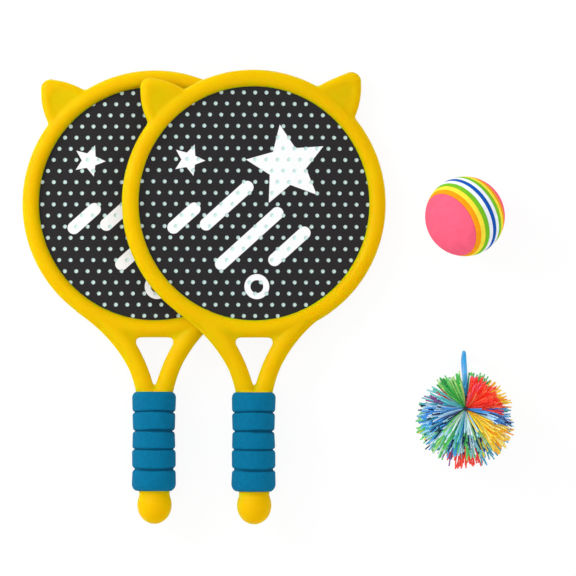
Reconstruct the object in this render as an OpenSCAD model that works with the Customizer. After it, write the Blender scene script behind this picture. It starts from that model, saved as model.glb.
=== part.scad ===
// Toy racket set laid out on a flat surface: two cat-eared rackets, the right one lying on
// the left one, a striped foam ball and a rubber string ball. Millimetres, +Z up, +Y towards
// the ears, origin on the surface under the middle of the set.

/* [Racket head] */
// Radius of the head ring, to the middle of its tube
ring_r = 98.5; // [85:0.5:115]
// Radius of the ring's round tube
ring_tube_r = 6.5; // [5.8:0.1:8]
// Wall of the moulded half shells
shell_wall = 2; // [1.4:0.1:2.4]

/* [Ears] */
// Distance from the middle of the head to the tip of an ear
ear_reach = 130; // [122:0.5:142]
// Angle between the racket's axis and the tip of an ear
ear_angle = 40.5; // [30:0.5:50]
// Turn of the pair of ears round the head
ear_turn = 1.8; // [-3:0.1:3]
// Angle between the feet of an ear's two edges on the ring
ear_spread = 18.8; // [16:0.2:24]
// How far an ear's edges bow outwards
ear_bow = 1.7; // [0.8:0.1:2.4]
// Radius of an ear's rounded edge
ear_edge_r = 4.8; // [4.2:0.1:5]
// Radius of the round of an ear's tip
ear_tip_r = 7.8; // [6.4:0.1:9]
// Depth of the shallow field between the rounded edges
ear_field_drop = 0.5; // [0.3:0.1:1]

/* [Throat] */
// How much slimmer the tube of a throat arm is than the ring's
arm_slimmer = 0.2; // [0.15:0.05:0.6]
// Angle round the ring from its lowest point to the root of an arm
arm_root_angle = 25; // [22:0.5:30]
// Angle between an arm and the racket's axis at the handle
arm_foot_angle = 13; // [10:0.5:18]
// Distance from the racket's axis to the middle of an arm at the handle
arm_foot_x = 6.7; // [6:0.1:7]
// Width of the throat opening beside the ring
throat_w = 29.2; // [25:0.2:32]
// Radius of the throat opening's corners
throat_corner_r = 3; // [2:0.5:5]
// Thickness of the web that fills the corners between the ring and the arms
throat_web_t = 7; // [4:0.5:9]
// Height above the grip of the crotch where the arms run together
crotch_l = 6.4; // [3:0.2:9]

/* [Handle] */
// Distance from the middle of the head to the foam grip
grip_start = 149.6; // [140:0.2:170]
// Number of bands on the foam grip
grip_bands = 5; // [3:1:7]
// Length of one band
band_l = 15.7; // [12:0.1:20]
// Outer radius of the foam grip
grip_r = 17; // [16.4:0.1:20]
// Radius of the rounded edges of a band
band_edge_r = 2.4; // [1:0.1:2.6]
// Radius of the rounded edges at the two ends of the grip
grip_end_r = 3; // [1:0.1:3.1]
// Radius of the handle at the upper end of the grip
handle_top_r = 13.6; // [13.4:0.1:13.8]
// Radius of the handle at the lower end of the grip, and of the neck below it
neck_r = 12.3; // [10:0.1:13]
// Distance from the grip to the middle of the ball end
neck_l = 12.3; // [11:0.1:20]
// Radius of the ball end
knob_r = 13.4; // [13.2:0.1:17]
// Gap between the handle and the foam on it
foam_fit = 0.15; // [0.05:0.05:0.4]

/* [Hitting face] */
// Thickness of each dark skin
skin_t = 0.6; // [0.4:0.1:1]
// Thickness of the pale core sheet
core_t = 0.4; // [0.3:0.1:0.8]
// Width of the face's margin past the middle of the ring's tube
face_margin = 2.6; // [2.2:0.1:3]
// Distance between neighbouring holes of a row
dot_pitch = 9; // [7:0.05:12]
// Distance between rows of holes
row_pitch = 8.85; // [7:0.05:12]
// Radius of a hole
dot_r = 1.65; // [1:0.05:2.5]
// Number of pegs round the ring
peg_count = 10; // [6:2:12]
// Radius of a peg
peg_r = 1.4; // [1.1:0.1:1.6]
// Wall of the boss round a peg
boss_wall = 1.2; // [0.8:0.1:1.4]
// Length of a peg above the face
peg_l = 2.4; // [1.5:0.1:2.6]
// Gap round a peg in its hole
peg_fit = 0.1; // [0.05:0.05:0.2]

/* [Lay of the set] */
// Distance between the middles of the two heads
racket_step = 79; // [70:0.1:95]
// Distance from the middle of the upper racket's head to the balls
ball_step = 166.5; // [160:0.5:220]
// Distance from the head's middle towards the handles to the foam ball
foam_ball_drop = 10.5; // [-20:0.5:40]
// Distance from the foam ball's middle to the string ball's core
string_ball_drop = 151.5; // [120:0.5:200]
// Gap left between pieces that lie on each other
lay_gap = 0.3; // [0.2:0.05:0.5]

/* [Foam ball] */
// Radius of the foam ball
foam_r = 31.5; // [25:0.5:40]
// Thickness of one foam sheet
sheet_t = 3.7; // [2:0.1:4.5]
// Compass turn of the near cap
cap_turn = 210.6; // [0:0.2:360]
// Rise of the near cap above the surface
cap_rise = 37.4; // [0:0.2:90]

/* [String ball] */
// Radius of the ball that the strands reach out to
string_r = 38.5; // [32:0.5:46]
// Radius of the core that the strands grow from
core_r = 11; // [10:0.5:13]
// Distance from the core to the middle of the ball, away from the loop
core_shift = 9.5; // [0:0.5:12]
// Radius of the tie in the middle of the core
tie_r = 1.5; // [1:0.1:1.8]
// Gap round the tie
tie_fit = 0.1; // [0.05:0.05:0.2]
// Strands beside each other in one bundle at the waist
strands_across = 5; // [3:1:5]
// Radius of a strand at the core
strand_root_r = 0.45; // [0.3:0.05:0.45]
// Radius of a strand at its tip
strand_tip_r = 0.8; // [0.5:0.05:1]
// How far the strands at the ball's waist sag
strand_sag = 3; // [0:0.5:5]
// Diameter of the finger loop's cord
loop_d = 3.2; // [2.4:0.1:3.4]

/* [Hidden] */
$fn = 96;

foam_names = ["foam_cap_near", "foam_orange_near", "foam_yellow_near", "foam_green_near",
    "foam_white_near", "foam_blue_middle", "foam_white_far", "foam_green_far",
    "foam_yellow_far", "foam_orange_far", "foam_cap_far"];
foam_colors = ["#fe6885", "#f9a028", "#f8ee50", "#80c832", "#f6f8fa", "#2060b4",
    "#f6f8fa", "#80c832", "#f8ee50", "#f9a028", "#fe6885"];
strand_names = ["strands_green", "strands_teal", "strands_blue", "strands_lime",
    "strands_purple", "strands_yellow", "strands_navy", "strands_red"];
strand_colors = ["#4fae4a", "#4fb0a8", "#2f86c9", "#6cc05a", "#b0406a", "#f4c02c", "#2a5f9e",
    "#ea3a2c"];

frame_yellow = "#ecb805";
grip_blue = "#056e96";
skin_dark = "#302f32";
core_aqua = "#bcd8d8";
loop_blue = "#32aaeb";

// Derived sizes of the racket, whose own frame has its origin in the middle of the head
arm_r = ring_tube_r - arm_slimmer;
grip_l = grip_bands * band_l;
knob_y = grip_start + grip_l + neck_l;
face_half_t = core_t / 2 + skin_t;
face_r = ring_r + face_margin;
face_view_r = ring_r - ring_tube_r;
boss_r = peg_r + boss_wall;
racket_l = ring_r + ring_tube_r + knob_y + knob_r;
far = 2 * racket_l;

// The middle line of an arm is an arc from the handle to the middle line of the ring
arm_foot = [arm_foot_x, -grip_start];
arm_root = ring_r * [sin(arm_root_angle), -cos(arm_root_angle)];
arm_chord = arm_root - arm_foot;
arm_chord_angle = atan2(arm_chord.x, arm_chord.y);
arm_root_slope = 2 * arm_chord_angle - arm_foot_angle;
arm_bend_r = norm(arm_chord) / (2 * sin(arm_chord_angle - arm_foot_angle));
arm_middle = arm_foot + arm_bend_r * [cos(arm_foot_angle), -sin(arm_foot_angle)];
arm_bury = 9;
arm_sweep = arm_root_slope - arm_foot_angle + arm_bury / arm_bend_r * 180 / PI;

// Outline of the web between the ring and the arms, and of the opening that is left in it
web_low = 125;
web_lip = 1.3;
throat_side = 15;
corner_middle = [throat_w / 2 - throat_corner_r, -ring_r - ring_tube_r - web_lip - throat_corner_r];
web_arm_x = arm_middle.x - sqrt(arm_bend_r ^ 2 - (web_low + arm_middle.y) ^ 2);
web_outline = concat([for (i = [-4 : 4]) let (a = arm_root_angle * i / 4) ring_r * [sin(a), -cos(a)]],
    [[web_arm_x, -web_low], [-web_arm_x, -web_low]]);
function throat_corner(side) = [for (i = [0 : 5]) let (a = 90 - (90 + throat_side) * i / 5,
    p = corner_middle + throat_corner_r * [cos(a), sin(a)]) [side * p.x, p.y]];

// The middle lines of an ear's two edges are arcs from the ring to the round of its tip
ear_tip_proud = 0.3;
ear_tip_edge_r = ear_edge_r + ear_tip_proud;
ear_tip_turn = 50;
function from_axis(r, a) = r * [sin(a), cos(a)];
ear_tip = from_axis(ear_reach - ear_tip_r, ear_angle);
function ear_foot(side) = from_axis(ring_r, ear_angle + side * ear_spread / 2);
function ear_end(side) = ear_tip + from_axis(ear_tip_r - ear_tip_edge_r, ear_angle + side * ear_tip_turn);
function ear_chord(side) = ear_end(side) - ear_foot(side);
function ear_bow_r(side) = (norm(ear_chord(side)) ^ 2 / 4 + ear_bow ^ 2) / (2 * ear_bow);
function ear_bow_middle(side) = let (c = ear_chord(side), out = side * [c.y, -c.x] / norm(c))
    (ear_foot(side) + ear_end(side)) / 2 - (ear_bow_r(side) - ear_bow) * out;

// Holes of the face, in rows that step by half a pitch, as far as the ring leaves them in view
dot_shift = [0.7, -0.7];
dot_reach = ceil(face_view_r / min(dot_pitch, row_pitch)) + 1;
dots = [for (row = [-dot_reach : dot_reach]) for (i = [-dot_reach : dot_reach])
    let (p = dot_shift + [dot_pitch * (i + (abs(row) % 2) / 2), row_pitch * row])
    if (norm(p) < face_view_r + dot_r / 2) p];

// The left racket lies on the far side of its ring and on the first band of its grip
rest_band_y = grip_start + grip_end_r;
left_rest = [ring_r + rest_band_y, grip_r];
left_pitch = atan2(left_rest.y, left_rest.x) - asin(ring_tube_r / norm(left_rest));
left_z = ring_r * sin(left_pitch) + ring_tube_r;
function left_height(y) = left_z - y * tan(left_pitch);

// The right racket lies on three places of the left one: where the rings cross, on the tip
// of an ear, and with its face on the left ring. Points are seen from the right head's middle.
cross_at = [-racket_step / 2, -sqrt(ring_r ^ 2 - racket_step ^ 2 / 4)];
cross_z = left_height(cross_at.y) + 2 * ring_tube_r + lay_gap;
rest_ear = from_axis(ear_reach - ear_tip_r, ear_angle - ear_turn);
ear_side = rest_ear - [racket_step, 0];
ear_at = ring_r * ear_side / norm(ear_side);
// Room over the flat of the tip for the slope between the rackets
ear_room = 0.35;
ear_z = left_height(rest_ear.y) + ring_tube_r + ear_tip_edge_r + ear_room + lay_gap;
function face_at(turn) = ring_r * [cos(turn), sin(turn)] - [racket_step, 0];
function face_z(turn) = left_height(face_at(turn).y) + ring_tube_r + face_half_t + lay_gap;
// Slopes along X and Y of the plane through three points of known height
function plane_slope(p, q, s, p_z, q_z, s_z) = let (a = q - p, b = s - p, d = cross(a, b))
    [(q_z - p_z) * b.y - (s_z - p_z) * a.y, (s_z - p_z) * a.x - (q_z - p_z) * b.x] / d;
function slope_at(turn) = plane_slope(cross_at, ear_at, face_at(turn), cross_z, ear_z,
    face_z(turn));
// The face meets the left ring where the two draw closest, found in a few passes
function settle(turn, passes) = let (s = slope_at(turn)) passes == 0 ? s
    : settle(atan2(-s.y - tan(left_pitch), -s.x), passes - 1);
right_slope = settle(0, 4);
right_z = cross_z - right_slope * cross_at;
right_pitch = atan(-right_slope.y);
right_roll = atan(-right_slope.x * cos(right_pitch));

// Places in the set, with the origin under its middle
set_w = ring_r + ring_tube_r + racket_step + ball_step + string_r;
left_x = ring_r + ring_tube_r - set_w / 2;
right_x = left_x + racket_step;
ball_x = right_x + ball_step;
head_y = racket_l / 2 - ring_r - ring_tube_r;
foam_y = head_y - foam_ball_drop;
core_y = foam_y - string_ball_drop;

// Strands leave the core in rows, each bundle filling one wedge of the core
wedge = 360 / len(strand_names);
row_step = 12;
rows = 6;
root_depth = 1.2;
bend_share = 0.55;
longest_share = 1;
shortest_share = 0.93;
strand_gap = 0.4;
loop_clear = loop_d / 2 + strand_tip_r + strand_gap;
loop_axis = 90;
loop_rise = [-70, 30];
golden_angle = 137.5;
function row_strands(rise) = max(1, round(strands_across * cos(rise)));
function heading(turn, rise) = [cos(turn) * cos(rise), sin(turn) * cos(rise), sin(rise)];
function in_loop_way(turn, rise) = abs(core_r * cos(rise) * sin(turn - loop_axis)) < loop_clear
    && sin(turn) > 0 && rise > loop_rise[0] && rise < loop_rise[1];
function strand_reach(u) = let (d = -u.y * core_shift)
    d + sqrt(d ^ 2 - core_shift ^ 2 + string_r ^ 2);
function strand_share(i) = shortest_share + (longest_share - shortest_share) * abs(sin(golden_angle * i));
// A strand is [turn, rise, length]
function bundle(k) = [for (row = [-rows : rows]) let (rise = row * row_step, n = row_strands(rise))
    for (j = [0 : n - 1])
    let (turn = loop_axis + wedge * (k - 0.5 + (j + 0.5) / n))
    if (!in_loop_way(turn, rise))
    [turn, rise, strand_reach(heading(turn, rise)) * strand_share(j + 5 * row + 11 * k)]];
function sagged(p) = p - [0, 0, strand_sag * (p.x ^ 2 + p.y ^ 2) / string_r ^ 2];
lowest_tip = min([for (k = [0 : len(strand_names) - 1]) for (s = bundle(k))
    sagged(s[2] * heading(s[0], s[1])).z]);
floor_cut = 0.5;
core_z = -lowest_tip - floor_cut;

// The flat on the core that the finger loop comes out of
loop_leg = [0.4, 2.2];
seat_inset = 0.6;
loop_seat_y = sqrt(core_r ^ 2 - (loop_leg[1] + loop_d / 2) ^ 2) - seat_inset;
// Middle line of the loop's cord, seen from the core: out, down to the surface and back
loop_route = [[-loop_leg[0], loop_seat_y, -loop_leg[1]], [-0.4, 13, -2.2], [-0.4, 17, -3.8],
    [-0.4, 20.5, -8], [-0.4, 23.5, -14], [-0.4, 26, -20], [-0.4, 28.5, -26], [-0.4, 31, -31.4],
    [-0.4, 34, -35.2], [-0.4, 37.2, -36.4], [-0.2, 40.6, -35.4], [-0.1, 43.1, -32.4], [0, 43.6, -28.6],
    [0.1, 41.8, -25], [0.2, 38.2, -22.8], [0.4, 34.4, -19.8], [0.4, 31, -15], [0.4, 27.4, -8.8],
    [0.4, 23, -2.8], [0.4, 18, 1.2], [0.4, 13, 2.2], [loop_leg[0], loop_seat_y, loop_leg[1]]];

module left_lay()
    translate([left_x, head_y, left_z]) rotate([-left_pitch, 0, 0]) children();

module right_lay()
    translate([right_x, head_y, right_z]) rotate([-right_pitch, 0, 0]) rotate([0, right_roll, 0])
        children();

module both_sides() {
    children();
    mirror([1, 0, 0]) children();
}

// Turns a shape that stands on Z so that it runs down the handle
module down_handle(y) translate([0, -y, 0]) rotate([90, 0, 0]) children();

module ring_tube(r) rotate_extrude() translate([ring_r, 0]) circle(r);

module throat_arm(r)
    translate(arm_middle) rotate([0, 0, 180 - arm_root_slope])
        rotate_extrude(angle = arm_sweep) translate([arm_bend_r, 0]) circle(r);

// Fills the sharp corners between the arms and the ring
module throat_web() linear_extrude(throat_web_t, center = true) difference() {
    polygon(web_outline);
    polygon(concat(throat_corner(1), [for (side = [1, -1]) [side * web_arm_x, -web_low - arm_r]],
        [for (i = [5 : -1 : 0]) throat_corner(-1)[i]]));
}

// A ball that is cut flat on both faces
module flat_ball(r, half_t) intersection() {
    sphere(r);
    cube([3 * r, 3 * r, 2 * half_t], center = true);
}

// One rounded edge of an ear
module ear_edge(side, r) {
    start = (side > 0 ? ear_foot(side) : ear_end(side)) - ear_bow_middle(side);
    sweep = 2 * asin(norm(ear_chord(side)) / (2 * ear_bow_r(side)));
    translate(ear_bow_middle(side)) rotate([0, 0, atan2(start.y, start.x)])
        rotate_extrude(angle = sweep) translate([ear_bow_r(side), 0]) circle(r);
}

// An ear, or its hollow, that lies inset from the moulded surface
module ear(inset) {
    edge = ear_edge_r - inset;
    for (side = [-1, 1]) ear_edge(side, edge);
    translate(ear_tip) flat_ball(ear_tip_r - inset, ear_tip_edge_r - inset);
    linear_extrude(2 * (edge - ear_field_drop), center = true) difference() {
        intersection_for (side = [-1, 1]) translate(ear_bow_middle(side)) circle(ear_bow_r(side));
        circle(ring_r);
    }
}

module handle(inset) {
    down_handle(grip_start + inset) cylinder(h = grip_l - inset, r1 = handle_top_r - inset,
        r2 = neck_r - inset);
    down_handle(grip_start + grip_l) cylinder(h = neck_l, r = neck_r - inset);
    down_handle(knob_y) sphere(knob_r - inset);
}

// The web between the feet of the arms
module crotch() translate([-arm_foot_x, -grip_start - shell_wall / 2, -throat_web_t / 2])
    cube([2 * arm_foot_x, shell_wall / 2 + crotch_l, throat_web_t]);

// The whole frame, or its hollow, that lies inset from the moulded surface
module frame(inset) {
    ring_tube(ring_tube_r - inset);
    both_sides() throat_arm(arm_r - inset);
    rotate([0, 0, ear_turn]) both_sides() ear(inset);
    handle(inset);
}

module half_space(side) translate([-far / 2, -far / 2, side > 0 ? 0 : -far]) cube(far);

module half_shell(side) intersection() {
    difference() {
        union() {
            frame(0);
            throat_web();
            crotch();
        }
        frame(shell_wall);
        cylinder(h = 2 * face_half_t, r = ring_r, center = true);
    }
    half_space(side);
}

module at_ring_pegs() for (i = [0 : peg_count - 1])
    rotate([0, 0, 360 / peg_count * (i + 0.5)]) translate([ring_r, 0, 0]) children();

// Two more pegs in the handle, whose bosses follow its taper
handle_pegs = [0.2, 0.8];
function handle_r(share) = handle_top_r + (neck_r - handle_top_r) * share;
module at_handle_peg(share) translate([0, -grip_start - share * grip_l, 0]) children();

// A boss from a start height to the middle of the wall of a tube of radius r
module boss(start, r) translate([0, 0, start])
    cylinder(h = sqrt((r - shell_wall / 2) ^ 2 - boss_r ^ 2) - start, r = boss_r);

module bosses() {
    at_ring_pegs() boss(face_half_t, ring_tube_r);
    for (share = handle_pegs) at_handle_peg(share) boss(0, handle_r(share));
}

module at_pegs() {
    at_ring_pegs() children();
    for (share = handle_pegs) at_handle_peg(share) children();
}

module front_shell() difference() {
    union() {
        half_shell(1);
        bosses();
    }
    at_pegs() cylinder(h = face_half_t + peg_l + peg_fit, r = peg_r + peg_fit);
}

module back_shell() {
    half_shell(-1);
    mirror([0, 0, 1]) bosses();
    at_pegs() cylinder(h = 2 * (face_half_t + peg_l), r = peg_r, center = true);
}

module peg_holes() at_ring_pegs() circle(peg_r + peg_fit);

module face_skin() linear_extrude(skin_t) difference() {
    circle(face_r);
    for (p = dots) translate(p) circle(dot_r);
    peg_holes();
}

module front_skin() translate([0, 0, core_t / 2]) face_skin();

module back_skin() mirror([0, 0, 1]) front_skin();

module face_core() linear_extrude(core_t, center = true) difference() {
    circle(face_r);
    peg_holes();
}

// Outline of band i: both edges rounded, those at the ends of the grip more
function band_outline(i) = let (first = i == 0 ? grip_end_r : band_edge_r,
        last = i == grip_bands - 1 ? grip_end_r : band_edge_r) concat(
    [for (a = [0 : 15 : 90]) [grip_r - first * (1 - sin(a)), i * band_l + first * (1 - cos(a))]],
    [for (a = [90 : -15 : 15]) [grip_r - last * (1 - sin(a)), (i + 1) * band_l - last * (1 - cos(a))]]);

module foam_grip() down_handle(grip_start) rotate_extrude()
    polygon(concat([for (i = [0 : grip_bands - 1]) each band_outline(i)],
        [[grip_r - grip_end_r, grip_l], [neck_r + foam_fit, grip_l], [handle_top_r + foam_fit, 0]]));

module left_front_shell() left_lay() color(frame_yellow) front_shell();
module left_back_shell() left_lay() color(frame_yellow) back_shell();
module left_front_skin() left_lay() color(skin_dark) front_skin();
module left_face_core() left_lay() color(core_aqua) face_core();
module left_back_skin() left_lay() color(skin_dark) back_skin();
module left_foam_grip() left_lay() color(grip_blue) foam_grip();

module right_front_shell() right_lay() color(frame_yellow) front_shell();
module right_back_shell() right_lay() color(frame_yellow) back_shell();
module right_front_skin() right_lay() color(skin_dark) front_skin();
module right_face_core() right_lay() color(core_aqua) face_core();
module right_back_skin() right_lay() color(skin_dark) back_skin();
module right_foam_grip() right_lay() color(grip_blue) foam_grip();

// One foam layer: 0 is the near cap, the last is the far cap
module foam_layer(i) {
    last = len(foam_names) - 1;
    top = i == 0 ? 2 * foam_r : (last / 2 - i + 0.5) * sheet_t;
    bottom = i == last ? -2 * foam_r : (last / 2 - i - 0.5) * sheet_t;
    translate([ball_x, foam_y, foam_r]) rotate([0, 90 - cap_rise, cap_turn]) color(foam_colors[i])
        intersection() {
            sphere(foam_r);
            translate([0, 0, bottom]) cylinder(h = top - bottom, r = 2 * foam_r);
        }
}

// The core's wedge of bundle k, with room for the tie
module core_wedge(k) intersection() {
    rotate([0, 0, loop_axis + (k - 0.5) * wedge]) rotate_extrude(angle = wedge) intersection() {
        circle(core_r);
        translate([tie_r + tie_fit, -core_r]) square([core_r, 2 * core_r]);
    }
    translate([-core_r, -core_r, -core_r]) cube([2 * core_r, core_r + loop_seat_y, 2 * core_r]);
}

// A three-sided strand that bends once and stops at the surface
module strand(turn, rise, length) {
    u = heading(turn, rise);
    side = [-sin(turn), cos(turn), 0];
    rings = [[core_r - root_depth, strand_root_r], [bend_share * length, strand_tip_r],
        [length, strand_tip_r]];
    points = [for (ring = rings) for (a = [0 : 120 : 240])
        let (p = sagged(ring[0] * u) + ring[1] * (cos(a) * side + sin(a) * cross(u, side)))
        [p.x, p.y, max(p.z, -core_z)]];
    faces = concat([[0, 1, 2], [8, 7, 6]],
        [for (level = [0, 3]) for (j = [0 : 2]) each [
            [level + j, level + j + 3, level + (j + 1) % 3],
            [level + (j + 1) % 3, level + j + 3, level + (j + 1) % 3 + 3]]]);
    polyhedron(points, faces);
}

module strand_bundle(k) translate([ball_x, core_y, core_z]) color(strand_colors[k]) {
    core_wedge(k);
    for (s = bundle(k)) strand(s[0], s[1], s[2]);
}

module core_tie() translate([ball_x, core_y, core_z]) color(loop_blue)
    cylinder(h = 2 * (core_r - root_depth), r = tie_r, center = true);

// A tube of eight sides along a route
module cord(route, d) {
    sides = 8;
    last = len(route) - 1;
    points = [for (i = [0 : last])
        let (along = route[min(i + 1, last)] - route[max(i - 1, 0)],
            t = i == 0 || i == last ? [0, i == 0 ? 1 : -1, 0] : along / norm(along),
            across = [1, 0, 0] - t.x * t, side = across / norm(across), up = cross(side, t))
        for (j = [0 : sides - 1]) let (a = 360 / sides * (j + 0.5))
        route[i] + d / 2 * (cos(a) * side + sin(a) * up)];
    faces = concat([[for (j = [0 : sides - 1]) j]],
        [for (i = [0 : last - 1]) for (j = [0 : sides - 1])
            let (a = i * sides + j, b = i * sides + (j + 1) % sides)
            each [[a, a + sides, b], [b, a + sides, b + sides]]],
        [[for (j = [sides - 1 : -1 : 0]) last * sides + j]]);
    polyhedron(points, faces);
}

module finger_loop() translate([ball_x, core_y, core_z]) color(loop_blue) cord(loop_route, loop_d);

left_front_shell();
left_back_shell();
left_front_skin();
left_face_core();
left_back_skin();
left_foam_grip();
right_front_shell();
right_back_shell();
right_front_skin();
right_face_core();
right_back_skin();
right_foam_grip();
for (i = [0 : len(foam_names) - 1]) foam_layer(i);
for (k = [0 : len(strand_names) - 1]) strand_bundle(k);
core_tie();
finger_loop();
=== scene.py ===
import math
import random

import bmesh
import bpy
from mathutils import Matrix, Vector, noise


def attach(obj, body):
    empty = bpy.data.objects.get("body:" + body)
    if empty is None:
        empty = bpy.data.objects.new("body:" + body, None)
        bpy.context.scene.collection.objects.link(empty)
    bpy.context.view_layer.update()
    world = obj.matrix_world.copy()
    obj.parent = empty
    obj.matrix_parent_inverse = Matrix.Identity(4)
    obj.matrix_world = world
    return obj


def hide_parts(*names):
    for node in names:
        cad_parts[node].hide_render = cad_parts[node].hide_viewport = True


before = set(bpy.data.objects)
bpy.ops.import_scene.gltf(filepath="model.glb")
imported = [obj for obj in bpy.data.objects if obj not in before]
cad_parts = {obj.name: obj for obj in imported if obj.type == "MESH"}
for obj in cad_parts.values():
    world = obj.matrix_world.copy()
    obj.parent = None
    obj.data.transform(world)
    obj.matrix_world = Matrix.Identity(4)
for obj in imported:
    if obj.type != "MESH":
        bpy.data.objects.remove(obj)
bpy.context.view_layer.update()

bl_info = {
    "name": "Toy Racket Set",
    "version": (1, 0, 0),
    "blender": (4, 5, 0),
    "location": "View3D > Sidebar > Racket Set",
    "description": "Dresses two eared toy rackets, a striped foam ball and a rubber string ball",
    "category": "Object",
}

# Shapes are built in millimetres in their own place, then laid into the frame in metres
MILLI = 0.001
MM = Matrix.Scale(MILLI, 4)
# Distance within which points count as one
TINY = 1e-5


def lay(x, y, z, pitch, roll):
    """The place of a racket: roll about its handle, pitch, then the middle of its head."""
    turn = Matrix.Rotation(math.radians(-pitch), 4, "X") @ Matrix.Rotation(math.radians(roll), 4, "Y")
    return MM @ Matrix.Translation((x, y, z)) @ turn


def polar(radius, degrees):
    """A point seen from the head's middle, its angle counted from the racket's axis."""
    return Vector((radius * math.sin(math.radians(degrees)), radius * math.cos(math.radians(degrees))))


# Where the source lays the rackets, the foam ball and the string ball's core
LAYS = {
    "left": lay(-89.5, 74.4, 10.6131, 2.39319, 0.0),
    "right": lay(-10.5, 74.4, 20.7684, 1.29282, 7.04032),
}
FOAM_BALL_AT = (156.0, 63.9, 31.5)
CAP_TURN = 210.6
CAP_RISE = 37.4
CORE_AT = (156.0, -87.6, 38.1179)

# The ring, a little taller than wide, and what the smoothing of the frame's skin takes off a tube
RING_R = 98.5
RING_TALL = 1.008
TUBE_R = 6.6
SMOOTHED_OFF = 0.2

# The ears; for the right and the left one: its reach and the bow of its inner and its outer edge
EARS = {1: (132.2, 0.9, 2.6), -1: (131.0, 2.2, 2.6)}
EAR_ANGLE = 40.5
EAR_TURN = 1.8
EAR_SPREAD = 18.8
EAR_EDGE_R = 4.8
EAR_TIP_R = 7.8
EAR_TIP_HALF_T = 5.1
EAR_TIP_TURN = 50
EAR_FIELD_T = 8.2

# The foam grip; each groove has its distance from the grip's top and its width at the bottom
GRIP_START = 149.6
GRIP_L = 78.5
GRIP_R = 17.3
GROOVES = ((16.1, 0.8), (30.9, 0.8), (45.3, 0.9), (60.9, 1.6))
GROOVE_DEPTH = 1.7
BAND_EDGE_L = 2.6
# Depth and length of the rounding at the grip's top and bottom
GRIP_ENDS = ((3.5, 4.6), (4.75, 6.0))
# How the foam is uneven: a waist, a shift aside, a flatter underside, and lumps of two sizes, each with its
# cells to the millimetre and its height
GRIP_WAIST = 0.6
WAIST_AT = 29
WAIST_SPREAD = 13
GRIP_ASIDE = 0.5
UNDERSIDE_FLAT = 0.4
LUMPS = ((0.09, 0.4), (0.3, 0.12))
# How far the bands bow along the grip at its top, how much less a millimetre further down, and over which
# length the bow fades at both ends
BAND_BOW = 1.6
BAND_BOW_FALL = 0.046
BAND_BOW_FADE = 10
# Depths in the grooves between which painted shade deepens the foam's colour, and the length of the ends left
# plain
GROOVE_SHADE_DEPTHS = (0.9, 1.5)
PLAIN_END_L = 8

# The handle in the grip, its gap to the foam, and the foam round the gap that stays even
HANDLE_TOP_R = 13.6
NECK_R = 12.3
FOAM_FIT = 0.15
BORE_SKIN = 0.5
# The lip below the grip and the ball end
LIP_DEPTH = 0.6
LIP_L = 1.2
KNOB_Y = 238.9
KNOB_R = 13.8
KNOB_L = 15.3
# Half of the parting line between the two shells
PARTING = 0.12

# The throat's arms, a little flat, which flare towards the grip and run on into the handle
ARM_R = 6.9
ARM_FLAT = 0.94
ARM_FLARE = 0.07
FLARE_Y = 115.0
ARM_ROOT_ANGLE = 25.0
ARM_FOOT_X = 6.7
ARM_FOOT_ANGLE = 13.0
ARM_RUN_ON = 4.342
# How far the right and the left arm stand out on their outer side at the ring, and over which angles
GUSSETS = {1: 1.5, -1: 3.3}
GUSSET_ARC = (-9.0, 34.0)
# The web in the throat's corners: its lip below the ring, its rounded corner and its two ends at the arm
WEB_T = 7.0
WEB_LIP_Y = -106.3
WEB_CORNER_X = 14.8
WEB_CORNER_R = 3.2
WEB_END_X = (15.1, 15.3)
WEB_END_Y = -125
CROTCH_L = 5.4
CROTCH_SUNK = 1

# The arc of the right arm, through its root on the ring and its foot at the grip
ARM_ROOT = polar(RING_R, 180 - ARM_ROOT_ANGLE)
ARM_FOOT = Vector((ARM_FOOT_X, -GRIP_START))
ARM_CHORD = ARM_ROOT - ARM_FOOT
ARM_TURN = 2 * (math.degrees(math.atan2(ARM_CHORD.x, ARM_CHORD.y)) - ARM_FOOT_ANGLE)
ARM_BEND_R = ARM_CHORD.length / (2 * math.sin(math.radians(ARM_TURN / 2)))
ARM_MIDDLE = ARM_FOOT + polar(ARM_BEND_R, 90 + ARM_FOOT_ANGLE)
ARM_START = 180 - ARM_FOOT_ANGLE - ARM_TURN

# The generic print on a face, from the head's middle: stars as (middle, turn, outer and inner radius), bars
# as (middle, half length) and a ring as (middle, radius, half width)
PRINT_STARS = (((26, 30), 100, 33, 15.5), ((-52, 34), 70, 13, 6))
PRINT_BARS = (((-22, -2), 22), ((-4, -28), 30), ((28, -34), 16), ((-56, -12), 11))
PRINT_RING = ((2, -66), 7.5, 2.4)
BAR_TURN = 42
BAR_R = 5
INK_EDGE = 0.15

# The foam ball, its sheets, and the joints and softened edges between them
FOAM_R = 31.5
SHEET_T = 3.7
GLUE_GAP = 0.03
SOFT_EDGE = 0.3
FOAM_LAYERS = [
    ("cap_near", "pink"), ("orange_near", "orange"), ("yellow_near", "yellow"), ("green_near", "green"),
    ("white_near", "white"), ("blue_middle", "blue"), ("white_far", "white"), ("green_far", "green"),
    ("yellow_far", "yellow"), ("orange_far", "orange"), ("cap_far", "pink"),
]

# The string ball, whose core lies off its middle, and where its strands start
STRING_R = 39.0
CORE_SHIFT = 9.5
CORE_R = 11.0
CORE_HALF_H = 5.5
ROOT_R = 5.0
# How a strand bends, in degrees: it droops, more so from the top of the ball, and sways aside
DROOP = 8
DROOP_FROM_TOP = 0.45
DROOP_SPREAD = (-12, 14)
DROOP_BEND = 0.8
SWAY = 34
SWAY_BACK = 0.35
# Ranges that strands are drawn from: the share of their reach, the sine of their rise at the core, and the
# rise from which they take the upper colours
STRAND_SHARE = (0.84, 1.02)
RISE_SINES = (-0.88, 0.96)
TOP_FROM = (-4, 12)
# Height over the floor that strands keep, and the share of their thickness at the core
STRAND_FLOOR = 0.9
ROOT_THICKNESS = 0.8
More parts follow.
